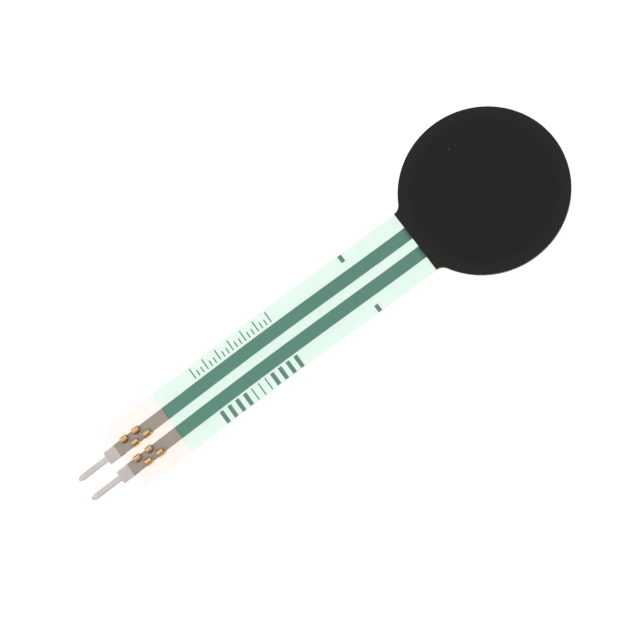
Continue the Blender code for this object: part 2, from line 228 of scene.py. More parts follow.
studio = {
    "floorSize": 1.6,
    "floorDrop": 0.03 * mm,  # keeps the floor from lying in the film's own face
    "floorPaint": 0.16,
    "floorGlow": 0.97,
    "keyPlace": (-0.42, 0.22, 0.30),
    "keySize": 0.45,
    "keyPower": 0.87,
    "fillPlace": (0.40, -0.30, 0.28),
    "fillSize": 0.45,
    "fillPower": 0.47,
    "worldLevel": 0.84,
    "horizon": 0.45,
    "wallTop": 0.80,  # the steepness of view from which the studio is fully white
}


# What the camera alone sees of the studio, and what the camera, a mirror or clear film sees of it, as
# against what only lights the object
def seenRays(tree):
    rays = addNode(tree, "ShaderNodeLightPath").outputs
    shiny = calc(tree, "MAXIMUM", rays["Is Glossy Ray"], rays["Is Transmission Ray"])
    return rays["Is Camera Ray"], calc(tree, "MAXIMUM", rays["Is Camera Ray"], shiny)


def makeFloor():
    half = studio["floorSize"] / 2
    z = -studio["floorDrop"]
    mesh = bpy.data.meshes.new("studioFloor")
    corners = [(-half, -half, z), (half, -half, z), (half, half, z), (-half, half, z)]
    mesh.from_pydata(corners, [], [(0, 1, 2, 3)])
    floor = bpy.data.objects.new("studioFloor", mesh)
    bpy.context.scene.collection.objects.link(floor)
    material, tree, shader, output = newMaterial("whiteTable")
    tree.nodes.remove(shader)
    paint = addNode(tree, "ShaderNodeBsdfDiffuse", {"Color": (*[studio["floorPaint"]] * 3, 1.0)})
    strength = calc(tree, "MULTIPLY", seenRays(tree)[1], studio["floorGlow"])
    glow = addNode(tree, "ShaderNodeEmission", {"Strength": strength})
    both = addNode(tree, "ShaderNodeAddShader", {0: paint.outputs[0], 1: glow.outputs[0]})
    tree.links.new(both.outputs[0], output.inputs["Surface"])
    mesh.materials.append(material)


def makeLamp(name, place, size, power):
    data = bpy.data.lights.new(name, "AREA")
    data.size = size
    data.energy = power
    lamp = bpy.data.objects.new(name, data)
    lamp.location = place
    target = (cadBox[0] + cadBox[1]) / 2
    lamp.rotation_euler = (target - lamp.location).to_track_quat("-Z", "Y").to_euler()
    bpy.context.scene.collection.objects.link(lamp)


# The studio is white overhead and underneath and greyer all round, and the camera sees plain white
def makeWorld():
    world = bpy.data.worlds.new("whiteStudio")
    bpy.context.scene.world = world
    world.use_nodes = True
    tree = world.node_tree
    background = tree.nodes["Background"]
    direction = addNode(tree, "ShaderNodeTexCoord").outputs["Generated"]
    height = addNode(tree, "ShaderNodeSeparateXYZ", {0: direction}).outputs[2]
    steepness = calc(tree, "ABSOLUTE", height)
    wall = spread(tree, steepness, 0.0, studio["wallTop"], studio["horizon"], 1.0, smooth=True)
    camera, seen = seenRays(tree)
    lit = calc(tree, "MULTIPLY", wall, calc(tree, "MAXIMUM", seen, studio["worldLevel"]))
    tree.links.new(calc(tree, "MAXIMUM", lit, camera), background.inputs["Strength"])
    background.inputs["Color"].default_value = (1, 1, 1, 1)


bpy.context.scene.view_settings.view_transform = "Standard"
makeFloor()
makeLamp("keyLamp", studio["keyPlace"], studio["keySize"], studio["keyPower"])
makeLamp("fillLamp", studio["fillPlace"], studio["fillSize"], studio["fillPower"])
makeWorld()
print("studio set up")


# Small helpers for meshes

weldDistance = 0.0004 * mm


# A value's way from one end of a range to the other, from 0 to 1, with a soft start and a soft end
def smoothRamp(value, low, high):
    t = np.clip((value - low) / (high - low), 0, 1)
    return t * t * (3 - 2 * t)


# A grid of points as a plain list of them, row by row, with the quads between them. The two ends of each
# row are joined.
def gridded(points):
    rows, columns = points.shape[:2]
    r, c = np.meshgrid(np.arange(rows - 1), np.arange(columns), indexing="ij")
    here = r * columns
    beyond = here + columns
    nextColumn = (c + 1) % columns
    quads = np.stack([here + c, here + nextColumn, beyond + nextColumn, beyond + c], axis=-1)
    return points.reshape(-1, 3), quads.reshape(-1, 4)


# Several lists of points with their quads as one
def joined(parts):
    counts = np.cumsum([0] + [len(points) for points, quads in parts])
    points = np.concatenate([points for points, quads in parts])
    quads = np.concatenate([quads + start for start, (_, quads) in zip(counts, parts)])
    return points, quads


# Puts points and quads into a mesh in one go, welds what coincides and turns the faces outwards
def surface(name, points, quads, sharpAngle=30):
    mesh = bpy.data.meshes.new(name)
    mesh.vertices.add(len(points))
    mesh.vertices.foreach_set("co", points.astype(np.float32).ravel())
    mesh.loops.add(quads.size)
    mesh.loops.foreach_set("vertex_index", quads.astype(np.int32).ravel())
    mesh.polygons.add(len(quads))
    mesh.polygons.foreach_set("loop_start", np.arange(0, quads.size, 4, dtype=np.int32))
    mesh.update(calc_edges=True)
    work = bmesh.new()
    work.from_mesh(mesh)
    bmesh.ops.remove_doubles(work, verts=work.verts, dist=weldDistance)
    bmesh.ops.recalc_face_normals(work, faces=work.faces)
    work.to_mesh(mesh)
    work.free()
    mesh.shade_smooth()
    mesh.set_sharp_from_angle(angle=math.radians(sharpAngle))
    piece = bpy.data.objects.new(name, mesh)
    bpy.context.scene.collection.objects.link(piece)
    return piece


# A piece joins the part: it rides on the one body and may stand for imported solids, which it hides
def seat(piece, slot, *replaced):
    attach(piece, "root")
    if replaced:
        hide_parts(*replaced)


# Outline of the round head as a distance from the centre for each angle. It is the head's own radius,
# the near side of the fillet circle in the two neck corners, and the straight cut across the tail.
head = {
    "filletRadius": 1.13 * mm,
    "roundSteps": 300,
    "filletSteps": 20,
    "cutSteps": 40,
}
filletY = tailHalfWidth + head["filletRadius"]
filletAngle = math.atan2(filletY, neckX)
cornerAngle = math.atan2(tailHalfWidth, neckX)


def headAngles():
    roundPart = np.linspace(-filletAngle, filletAngle, head["roundSteps"])
    fillet = np.linspace(filletAngle, cornerAngle, head["filletSteps"])[1:]
    cut = np.linspace(cornerAngle, 2 * math.pi - cornerAngle, head["cutSteps"])[1:-1]
    return np.concatenate([roundPart, fillet, cut, 2 * math.pi - fillet[::-1]])


def headDistance(angles):
    turned = np.abs(np.remainder(angles + math.pi, 2 * math.pi) - math.pi)
    along = neckX * np.cos(turned) + filletY * np.sin(turned)
    inside = np.maximum(along**2 - neckX**2 - filletY**2 + head["filletRadius"] ** 2, 0)
    fillet = along - np.sqrt(inside)
    # the cosine is held off zero at the angles where the cut isn't used
    straight = neckX / np.minimum(np.cos(turned), -0.1)
    edge = np.where(turned <= filletAngle, headRadius, fillet)
    return np.where(turned >= cornerAngle, straight, edge)


# Adhesive ring: a section carried round from one side of the vent to the other. The section is as wide
# as the ring there, and both its edges are drawn in to a hollow between the two films, by half a sine
# wave over the ring's thickness.
adhesiveRing = {
    "openingRadius": 7.34 * mm,
    "ventHalfWidth": 0.50 * mm,
    "hollow": 0.07 * mm,
    "hollowSteps": 9,
    "leastStep": 0.001,  # radians from the vent's side to the next section
}


def makeAdhesiveRing():
    s = adhesiveRing
    outerEnd = math.pi - math.atan(s["ventHalfWidth"] / -neckX)
    innerEnd = math.pi - math.asin(s["ventHalfWidth"] / s["openingRadius"])
    angles = np.sort(np.remainder(headAngles() + math.pi, 2 * math.pi) - math.pi)
    angles = angles[np.abs(angles) < outerEnd - s["leastStep"]]
    outerAngles = np.concatenate([[-outerEnd], angles, [outerEnd]])
    innerAngles = outerAngles * innerEnd / outerEnd
    outerDistance = headDistance(outerAngles)[:, None]
    outer = outerDistance * np.stack([np.cos(outerAngles), np.sin(outerAngles)], axis=-1)
    inner = s["openingRadius"] * np.stack([np.cos(innerAngles), np.sin(innerAngles)], axis=-1)
    across = outer - inner
    across = across / np.linalg.norm(across, axis=-1, keepdims=True)
    rise = np.linspace(0, 1, s["hollowSteps"])
    draw = s["hollow"] * np.sin(math.pi * rise)
    outerSide = outer[:, None, :] - across[:, None, :] * draw[None, :, None]
    innerSide = inner[:, None, :] + across[:, None, :] * draw[None, ::-1, None]
    flat = np.concatenate([outerSide, innerSide], axis=1)
    z = spacerLow.z + (spacerHigh.z - spacerLow.z) * np.concatenate([rise, rise[::-1]])
    z = np.broadcast_to(z[None, :, None], flat.shape[:2] + (1,))
    piece = surface("adhesiveRing", *gridded(np.concatenate([flat, z], axis=-1)))

    # the two ends at the vent are closed
    work = bmesh.new()
    work.from_mesh(piece.data)
    ends = bmesh.ops.holes_fill(work, edges=[edge for edge in work.edges if edge.is_boundary], sides=0)
    bmesh.ops.triangulate(work, faces=ends["faces"])
    bmesh.ops.recalc_face_normals(work, faces=work.faces)
    work.to_mesh(piece.data)
    work.free()
    seat(piece, "spacer_adhesive", "spacer_ring")
    return piece


# Black sheet: rings of the head's outline, drawn in towards the centre. Its height is the sheet's top,
# let down where the adhesive ring and its vent leave it unsupported, with a faint unevenness made of
# sine waves. Its edge is a quarter round at the top and another at the bottom.
blackSheet = {
    "rings": 70,
    "firstRing": 0.03,
    "ringPower": 0.8,  # below 1, it crowds the rings a little towards the edge
    "edgeSteps": 8,
    "edgeRound": 0.020 * mm,
    "edgeFade": 0.25 * mm,
    "sinkWidth": 0.45 * mm,
    "sink": 0.010 * mm,
    "ventSinkShare": 0.5,
    "ventStart": 6 * mm,
    "ventFade": 1 * mm,
    "waves": 0.0016 * mm,
    "waveScales": (1.9 * mm, 2.3 * mm, 3.7 * mm),  # along x, along y and aslant
    "wavePhases": (0.6, 1.1),
}


def sheetRelief(x, y):
    s = blackSheet
    distance = np.hypot(x, y)
    opening = adhesiveRing["openingRadius"]
    sink = smoothRamp(distance, opening, opening - s["sinkWidth"])
    fromVent = np.clip((distance - s["ventStart"]) / s["ventFade"], 0, 1)
    vent = np.exp(-((y / adhesiveRing["ventHalfWidth"]) ** 4)) * (x < 0) * fromVent
    alongX, alongY, aslant = s["waveScales"]
    phaseX, phaseY = s["wavePhases"]
    waves = np.sin(x / alongX + phaseX) * np.sin(y / alongY + phaseY) + np.sin((x + y) / aslant)
    return -s["sink"] * np.maximum(sink, s["ventSinkShare"] * vent) + s["waves"] * (waves / 2 - 1)


def makeBlackSheet():
    s = blackSheet
    angles = headAngles()
    edge = headDistance(angles)
    middle = np.zeros((1, len(angles)))
    shares = np.linspace(s["firstRing"], 1, s["rings"])[:, None] ** s["ringPower"]
    turn = np.linspace(0, math.pi / 2, s["edgeSteps"])
    inset = s["edgeRound"] * (1 - np.sin(turn))
    drop = s["edgeRound"] * (1 - np.cos(turn))
    distance = np.concatenate([
        middle, shares * (edge - s["edgeRound"]), edge - inset[1:, None], edge - drop[:, None], middle,
    ])
    upper, lower = backingHigh.z, backingLow.z
    heights = np.concatenate([np.full(s["rings"] + 1, upper), upper - drop[1:], lower + inset, [lower]])
    x = distance * np.cos(angles)
    y = distance * np.sin(angles)
    z = np.repeat(heights[:, None], len(angles), axis=1)
    top = s["rings"] + s["edgeSteps"]
    fade = np.clip((edge - distance[:top]) / s["edgeFade"], 0, 1)
    z[:top] += sheetRelief(x[:top], y[:top]) * fade
    piece = surface("blackSheet", *gridded(np.stack([x, y, z], axis=-1)))
    seat(piece, "black_backing", "backing_sheet")
    return piece


# Contacts: one flat strip with its pin and shoulders, and four barbs that come up out of its sides.
# The tail comes down straight on the pins, so every height here is measured over a line that rises
# from the pins' tips.
contact = {
    "sheet": 0.18 * mm,
    "filmAbove": 0.004 * mm,
    "filmThickness": 0.13 * mm,
    "slope": 0.028,
    "trackMiddle": 1.27 * mm,
    "edgeRound": 0.022 * mm,
    "edgeSteps": 5,
    "cornerRadius": 0.12 * mm,
    "cornerSteps": 7,
    "tipHalfWidth": 0.15 * mm,
    "pinHalfWidth": 0.32 * mm,
    "taperLength": 0.45 * mm,
    "pinLength": 3.72 * mm,
    "shoulderHalfWidth": 0.76 * mm,
    "shoulderUnderFilm": 0.60 * mm,
    "bodyHalfWidth": 0.73 * mm,
    "bodyStepRadius": 0.03 * mm,
    "notchHalfWidth": 0.61 * mm,  # beside each barb the body is cut back to the barb's root
    "notchClearance": 0.02 * mm,
    "stepLean": 0.002 * mm,  # keeps the square steps from folding flat
}


# Height over the table of the line from the pins' tips, in proportion to the distance from them
def stripHeight(x):
    return contact["slope"] * (x - pinTipX)


# Corners given as x, y and radius, each turned into an arc that is tangent to both its sides. The first
# and the last corner only give the way in and the way out.
def roundedPath(corners, steps):
    rows = []
    for before, corner, after in zip(corners, corners[1:], corners[2:]):
        point = np.array(corner[:2])
        into = (point - before[:2]) / np.linalg.norm(point - before[:2])
        out = (after[:2] - point) / np.linalg.norm(after[:2] - point)
        turn = math.atan2(into[0] * out[1] - into[1] * out[0], into @ out)
        reach = corner[2] * abs(math.tan(turn / 2))
        angles = np.linspace(0, turn, steps if corner[2] > 0 else 1)[:, None]
        side = math.copysign(1, turn) * np.array([-into[1], into[0]])
        centre = point - into * reach + side * corner[2]
        rows.append(centre - side * corner[2] * np.cos(angles) + into * corner[2] * np.abs(np.sin(angles)))
    return np.concatenate(rows)


# An outline drawn in by each of some insets, along normals that halve the turn at each point. Its x is
# kept from running back where two notches end close together.
def drawnIn(outline, insets):
    ways = np.diff(outline, axis=0)
    ways = ways / np.maximum(np.linalg.norm(ways, axis=-1, keepdims=True), 1e-12)  # no division by zero
    along = np.concatenate([[(0, 1)], ways[:-1] + ways[1:], [(0, -1)]])
    inward = np.stack([along[:, 1], -along[:, 0]], axis=-1)
    inward = inward / np.linalg.norm(inward, axis=-1, keepdims=True)
    edge = outline[:, None, :] + inward[:, None, :] * insets[None, :, None]
    edge[:, :, 0] = np.maximum.accumulate(edge[:, :, 0], axis=0)
    return edge


# Half of the strip's outline, from the pin's tip to the body's end, and the side on which each of its
# points belongs to a notch, or 0. The body's straight edge gets four points for each barb, two at each
# end of its notch.
def stripOutline():
    s = contact
    shoulderEnd = pinTipX + s["pinLength"]
    shoulderStart = filmEndX + s["shoulderUnderFilm"]
    lean, corner, stepCorner = s["stepLean"], s["cornerRadius"], s["bodyStepRadius"]
    half = roundedPath([
        (pinTipX, -mm, 0),
        (pinTipX, s["tipHalfWidth"], corner),
        (pinTipX + s["taperLength"], s["pinHalfWidth"], s["pinHalfWidth"]),
        (shoulderEnd - lean, s["pinHalfWidth"], corner),
        (shoulderEnd, s["shoulderHalfWidth"], corner),
        (shoulderStart, s["shoulderHalfWidth"], stepCorner),
        (shoulderStart + lean, s["bodyHalfWidth"], stepCorner),
        (bodyEndX, s["bodyHalfWidth"], corner),
        (bodyEndX, -mm, 0),
    ], s["cornerSteps"])
    half = np.concatenate([[(pinTipX, 0)], half, [(bodyEndX, 0)]])
    barbMiddles, barbSides = barbPlaces()
    notchHalf = barb["length"] / 2 + s["notchClearance"]
    stops = np.array([-notchHalf, lean - notchHalf, notchHalf - lean, notchHalf])
    stations = (barbMiddles[:, None] + stops).ravel()
    before = half[half[:, 0] < stations[0]]
    after = half[half[:, 0] > stations[-1]]
    straight = np.stack([stations, np.full_like(stations, s["bodyHalfWidth"])], axis=-1)
    notched = (np.array([0, 1, 1, 0]) * barbSides[:, None]).ravel()
    inNotch = np.concatenate([np.zeros(len(before)), notched, np.zeros(len(after))])
    return np.concatenate([before, straight, after]), inNotch


# Strip: each side cuts its own notches into the half outline, beside the barbs that stand there, and is
# carried from the middle line to the edge. The edge is a quarter round above and below, for which the
# outline is drawn in along its normals.
def stripSurface(trackMiddle):
    s = contact
    half, inNotch = stripOutline()
    turn = np.linspace(0, math.pi / 2, s["edgeSteps"])
    inset = s["edgeRound"] * (1 - np.sin(turn))
    drop = s["edgeRound"] * (1 - np.cos(turn))
    insets = np.concatenate([[s["edgeRound"]], inset, inset[::-1], [s["edgeRound"]]])
    heights = np.concatenate([[s["sheet"]], s["sheet"] - drop, drop[::-1], [0.0]])
    middleX = drawnIn(half, insets)[:, 0, 0]
    sides = []
    for side in (1, -1):
        outline = half.copy()
        outline[inNotch == side, 1] = s["notchHalfWidth"]
        edge = drawnIn(outline, insets)
        edge[:, [0, -1], 0] = middleX[:, None]
        edge[:, [0, -1], 1] = 0
        edge[:, :, 1] *= side
        sides.append(edge)
    flat = np.concatenate([sides[0], sides[1][:, ::-1]], axis=1)
    x = flat[:, :, 0]
    y = flat[:, :, 1] + trackMiddle
    z = np.concatenate([heights, heights[::-1]])[None, :] + stripHeight(x)
    return gridded(np.stack([x, y, z], axis=-1))


# Barbs: a tine of the strip's own sheet. It leaves the strip's side, bends up through the film and curls
# over on the track. The crimping die has left a crease along the crown and a fainter one on its shoulder,
# the tip is thinned and narrowed, and a corner of the root stands out beside the curl.
barb = {
    "sheet": 0.16 * mm,
    "length": 0.72 * mm,
    "spacing": 0.77 * mm,
    "firstSetback": 1.33 * mm,
    "count": 4,
    "reach": 0.82 * mm,
    "rootLength": 0.15 * mm,
    "bendRadius": 0.02 * mm,
    "landing": 0.150 * mm,
    "curlRadius": 0.35 * mm,
    "curlAngle": math.radians(205),
    "pathSteps": (3, 8, 12, 96),  # root, bend, rise, curl
    "edgeRound": 0.035 * mm,
    "edgeShare": 0.8,  # the most of half the thickness that the round edge may take
    "edgeSteps": 5,
    "sideSteps": 9,
    "creases": [(98, 0.024 * mm, 0.032 * mm), (58, 0.014 * mm, 0.026 * mm)],  # degrees, depth, half width
    "swell": 0.012 * mm,
    "swellRange": (0.1, 1.4),  # radians into the curl
    "tipThickness": 0.09 * mm,
    "thinFrom": math.radians(125),
    "tipLength": 0.54 * mm,
    "narrowRange": (math.radians(112.5), math.radians(209.1)),
    "tipSteps": 6,
    "tipNarrowing": 0.12,
    "tipBulge": 0.6,
    "nubReach": 0.11 * mm,
    "nubIn": (0.165 * mm, 0.185 * mm),
    "nubOut": (0.285 * mm, 0.315 * mm),
    "nubEnd": 0.6,  # radians into the curl
}


# The middles of the barbs along the tail and the side that each one stands on, in turn
def barbPlaces():
    steps = np.arange(barb["count"])
    return filmEndX + barb["firstSetback"] + barb["spacing"] * steps, np.where(steps % 2 == 0, 1, -1)


# The middle of the sheet along the tine: distance from the track's middle, height over the film's
# underside, the way outwards from the sheet, and the angle reached in the curl, which is -1 before it.
# The root is straight, the bend and the curl are arcs, and a straight rise joins them.
def barbPath():
    b = barb
    half = b["sheet"] / 2
    top = -contact["filmAbove"] - (contact["sheet"] - b["sheet"]) / 2
    bendX = b["reach"] - b["bendRadius"] - b["sheet"]
    curlX = b["reach"] - b["curlRadius"]
    curlZ = b["landing"] + b["curlRadius"] * math.sin(b["curlAngle"] - math.pi)
    rootSteps, bendSteps, riseSteps, curlSteps = b["pathSteps"]
    root = np.linspace(bendX - b["rootLength"], bendX, rootSteps)[:-1]
    bend = np.linspace(-math.pi / 2, 0, bendSteps)
    rise = np.linspace(top + b["bendRadius"], curlZ, riseSteps)[1:-1]
    curl = np.linspace(0, b["curlAngle"], curlSteps)
    bendRound = b["bendRadius"] + half
    curlRound = b["curlRadius"] - half
    distance = np.concatenate([
        root, bendX + bendRound * np.cos(bend), np.full_like(rise, b["reach"] - half),
        curlX + curlRound * np.cos(curl),
    ])
    height = np.concatenate([
        np.full_like(root, top - half), top + b["bendRadius"] + bendRound * np.sin(bend), rise,
        curlZ + curlRound * np.sin(curl),
    ])
    angle = np.concatenate([np.full_like(root, -math.pi / 2), bend, np.zeros_like(rise), curl])
    curled = np.concatenate([np.full(len(root) + bendSteps + len(rise), -1.0), curl])
    return distance, height, angle, curled


# A rounded rectangle carried along that path. Its length lies along the tail and its thickness along the
# way outwards. Each crease takes a bell curve off its outer side, and soft ramps thin and narrow it
# towards the tip, swell it in the curl and add the nub on the rise.
def barbSurface(middleX, trackMiddle, edgeSide):
    b = barb
    distance, height, angle, curled = barbPath()
    half = b["sheet"] / 2
    outer = np.full_like(distance, half)
    for degrees, depth, width in b["creases"]:
        offset = (curled - math.radians(degrees)) * b["curlRadius"] / width
        outer = outer - depth * np.exp(-(offset**2)) * (curled > 0)
    thin = smoothRamp(curled, b["thinFrom"], b["curlAngle"])
    inner = half - (b["sheet"] + (b["tipThickness"] - b["sheet"]) * thin)
    narrow = smoothRamp(curled, *b["narrowRange"])
    long = b["length"] / 2 + (b["tipLength"] - b["length"]) / 2 * narrow
    long = long + b["swell"] * smoothRamp(curled, *b["swellRange"]) * (1 - narrow)
    nub = smoothRamp(height, *b["nubIn"]) * (1 - smoothRamp(height, *b["nubOut"])) * (curled < b["nubEnd"])
    front, back = long + b["nubReach"] * nub, -long
    edge = np.minimum(b["edgeRound"], (outer - inner) / 2 * b["edgeShare"])
    turn = np.linspace(0, math.pi / 2, b["edgeSteps"])

    # a quarter round in the corner between an end of the length and a side of the thickness
    def corner(longEnd, sideEnd, longSign, sideSign, turns):
        longPart = longEnd[:, None] - longSign * edge[:, None] * (1 - np.cos(turns))
        sidePart = sideEnd[:, None] - sideSign * edge[:, None] * (1 - np.sin(turns))
        return longPart, sidePart

    straight = np.linspace(-1, 1, b["sideSteps"])[1:-1]
    top = (front + back)[:, None] / 2 - ((front - back)[:, None] / 2 - edge[:, None]) * straight
    section = [
        corner(front, outer, 1, 1, turn),
        (top, np.broadcast_to(outer[:, None], top.shape)),
        corner(back, outer, -1, 1, turn[::-1]),
        corner(back, inner, -1, -1, turn),
        (top[:, ::-1], np.broadcast_to(inner[:, None], top.shape)),
        corner(front, inner, 1, -1, turn[::-1]),
    ]
    longPart = np.concatenate([part[0] for part in section], axis=1)
    sidePart = np.concatenate([part[1] for part in section], axis=1)

    # the tip is closed by a round of shrinking sections, of which the last is a single point
    closing = np.linspace(0, math.pi / 2, b["tipSteps"])[1:, None]
    middleLong = longPart[-1].mean()
    middleSide = (outer[-1] + inner[-1]) / 2
    tipLong = middleLong + (longPart[-1] - middleLong) * (1 - b["tipNarrowing"] * (1 - np.cos(closing)))
    tipLong[-1] = middleLong
    tipSide = middleSide + (sidePart[-1] - middleSide) * np.cos(closing)
    beyond = b["tipBulge"] * (outer[-1] - inner[-1]) / 2 * np.sin(closing[:, 0])
    forward = angle[-1] + math.pi / 2
    distance = np.concatenate([distance, distance[-1] + beyond * math.cos(forward)])
    height = np.concatenate([height, height[-1] + beyond * math.sin(forward)])
    angle = np.concatenate([angle, np.full_like(beyond, angle[-1])])
    longPart = np.concatenate([longPart, tipLong])
    sidePart = np.concatenate([sidePart, tipSide])

    x = middleX + longPart
    y = trackMiddle + edgeSide * (distance[:, None] + sidePart * np.cos(angle)[:, None])
    z = height[:, None] + sidePart * np.sin(angle)[:, None] + contact["sheet"] + contact["filmAbove"]
    points = np.stack([x, y, z + stripHeight(x)], axis=-1)
    root = np.broadcast_to(points[0].mean(axis=0), (1,) + points[0].shape)
    return gridded(np.concatenate([root, points]))


def makeContact(side, sign):
    trackMiddle = sign * contact["trackMiddle"]
    parts = [stripSurface(trackMiddle)]
    parts += [barbSurface(x, trackMiddle, edgeSide) for x, edgeSide in zip(*barbPlaces())]
    piece = surface(f"{side}Contact", *joined(parts), sharpAngle=38)
    seat(piece, "contact_metal", f"contact_{side}")
    return piece


# Lips: where a barb has come through, the film stands up round its slot. A low rounded section is carried
# round the slot's three outer sides. It rises by a square root to its crest and falls by a power from
# there, and it narrows and dies away at the track's edge.
lip = {
    "slotHalfLength": 0.38 * mm,
    "slotOuter": 0.84 * mm,
    "trackEdge": 0.74 * mm,
    "corner": 0.05 * mm,
    "sideSteps": 9,
    "cornerSteps": 9,
    "outerSteps": 13,
    "sectionSteps": 12,
    "width": 0.19 * mm,
    "endWidth": 0.3,  # share of the width that is left at the track's edge
    "endFade": 0.07 * mm,
    "height": 0.055 * mm,
    "crest": 0.12,  # share of the width at which the lip is highest
    "fallPower": 1.6,
    "fallGain": 1.2,  # makes up for what the fall takes off the crest
    "underReach": 0.5,  # share of the width at which the flat underside has its point
    "clearance": 0.002 * mm,
}


def lipSurface(middleX, trackMiddle, edgeSide):
    s = lip
    length, outer, start = s["slotHalfLength"], s["slotOuter"], s["trackEdge"]
    bends = roundedPath([
        (length, start - mm, 0), (length, outer, s["corner"]), (-length, outer, s["corner"]),
        (-length, start - mm, 0),
    ], s["cornerSteps"])
    rise = np.linspace(start, outer - s["corner"], s["sideSteps"])[:-1]
    across = np.linspace(length - s["corner"], -length + s["corner"], s["outerSteps"])[1:-1]
    path = np.concatenate([
        np.stack([np.full_like(rise, length), rise], axis=-1), bends[:s["cornerSteps"]],
        np.stack([across, np.full_like(across, outer)], axis=-1), bends[s["cornerSteps"]:],
        np.stack([np.full_like(rise, -length), rise[::-1]], axis=-1),
    ])
    along = np.gradient(path, axis=0)
    outward = np.stack([along[:, 1], -along[:, 0]], axis=-1)
    outward = outward / np.linalg.norm(outward, axis=-1, keepdims=True)
    share = np.linspace(0, 1, s["sectionSteps"])
    swell = np.minimum(share / s["crest"], 1) ** 0.5 * (1 - share) ** s["fallPower"] * s["fallGain"]
    swell = np.concatenate([swell, [0.0]])
    reach = s["width"] * np.concatenate([share, [s["underReach"]]])
    fade = smoothRamp(path[:, 1], start, start + s["endFade"])
    width = s["endWidth"] + (1 - s["endWidth"]) * fade
    flat = path[:, None, :] + outward[:, None, :] * reach[None, :, None] * width[:, None, None]
    x = middleX + flat[:, :, 0]
    y = trackMiddle + edgeSide * flat[:, :, 1]
    base = contact["sheet"] + contact["filmAbove"] + contact["filmThickness"] + s["clearance"]
    z = base + s["height"] * swell[None, :] * fade[:, None] + stripHeight(x)
    points = np.stack([x, y, z], axis=-1)
    ends = [np.broadcast_to(points[i].mean(axis=0), (1,) + points[i].shape) for i in (0, -1)]
    return gridded(np.concatenate([ends[0], points, ends[1]]))


def makeLips():
    parts = []
    for trackMiddle in (contact["trackMiddle"], -contact["trackMiddle"]):
        parts += [lipSurface(x, trackMiddle, edgeSide) for x, edgeSide in zip(*barbPlaces())]
    piece = surface("slotLips", *joined(parts))
    seat(piece, "clear_film")
    return piece


blackSheetPiece = makeBlackSheet()
print("black sheet made")
adhesivePiece = makeAdhesiveRing()
print("adhesive ring made")
contactPieces = [makeContact("left", 1), makeContact("right", -1)]
lipPiece = makeLips()
print("contacts and slot lips made")


# Materials. In each one's dictionary a grain has its size in millimetres, a bump its depth in millimetres
# and its strength, and a pair of colours or numbers the two ends between which a noise wanders.

# Matt black sheet: a dense black with a fine emboss, a painted sheen that greys it towards its rim, and a
# few specks of dust
mattBlackLook = {
    "emboss": {"size": 0.09, "detail": 3.0, "roughness": 0.6},
    "cloud": {"size": 3.0, "detail": 3.0},
    "embossShare": 0.45,
    "bump": (0.006, 0.5),
    "contrast": (0.35, 0.65),
    "black": (screen(10, 10, 9), screen(21, 21, 20)),
    "rimSheen": screen(27, 27, 25),
    "rimSheenWidth": 2.2 * mm,
    "gloss": 0.22,
    "roughness": (0.50, 0.66),
    "dust": screen(176, 172, 165),
    "dustCore": 0.3,  # share of a speck's radius that is evenly pale
    "specks": [  # x, y and radius in millimetres, and strength
        (-0.27, 5.86, 0.14, 0.12),
        (0.50, 5.80, 0.11, 0.08),
        (2.08, 7.27, 0.14, 0.04),
        (1.85, 8.38, 0.14, 0.09),
    ],
}


def mattBlack():
    look = mattBlackLook
    material, tree, shader, output = newMaterial("mattBlackSheet")
    emboss = grain(tree, **look["emboss"])
    share = mixNoise(tree, look["embossShare"], emboss, grain(tree, **look["cloud"]))
    black = blendColours(tree, spread(tree, share, *look["contrast"]), *look["black"])
    coordinates = addNode(tree, "ShaderNodeTexCoord").outputs["Object"]
    flat = addNode(tree, "ShaderNodeVectorMath", {0: coordinates, 1: (1, 1, 0)}, operation="MULTIPLY")
    flat = flat.outputs[0]
    fromMiddle = addNode(tree, "ShaderNodeVectorMath", {0: flat}, operation="LENGTH").outputs["Value"]
    # painted sheen: a lighter grey band round the sheet's rim
    rimSheen = spread(tree, fromMiddle, headRadius - look["rimSheenWidth"], headRadius, smooth=True)
    black = blendColours(tree, rimSheen, black, look["rimSheen"])
    dust = 0.0
    for x, y, radius, strength in look["specks"]:
        away = addNode(tree, "ShaderNodeVectorMath", {0: flat, 1: (x * mm, y * mm, 0)}, operation="DISTANCE")
        core = look["dustCore"] * radius * mm
        speck = spread(tree, away.outputs["Value"], core, radius * mm, strength, 0.0, smooth=True)
        dust = calc(tree, "MAXIMUM", dust, speck)
    setSockets(
        tree, shader, colour=blendColours(tree, dust, black, look["dust"]), gloss=look["gloss"],
        roughness=noiseTo(tree, share, *look["roughness"]), normal=bump(tree, emboss, *look["bump"]),
    )
    return material


# Clear polyester film: glossy and nearly colourless, warmer at its bare end and milkier where it is cut
clearFilmLook = {
    "haze": {"size": 0.6, "detail": 3.0},
    "scratches": {"size": 0.05, "stretch": 14.0},
    "bump": (0.002, 0.3),
    "body": (screen(250, 236, 222), screen(255, 244, 233)),
    "bodyRoughness": 0.35,
    "bodyShare": (0.015, 0.035),
    "cutShare": 0.35,
    "bareTint": screen(254, 249, 246),
    "coatedTint": screen(255, 252, 249),
    "tintEdge": 0.02 * mm,
    "roughness": (0.05, 0.12),
    "mirror": 0.020,
}


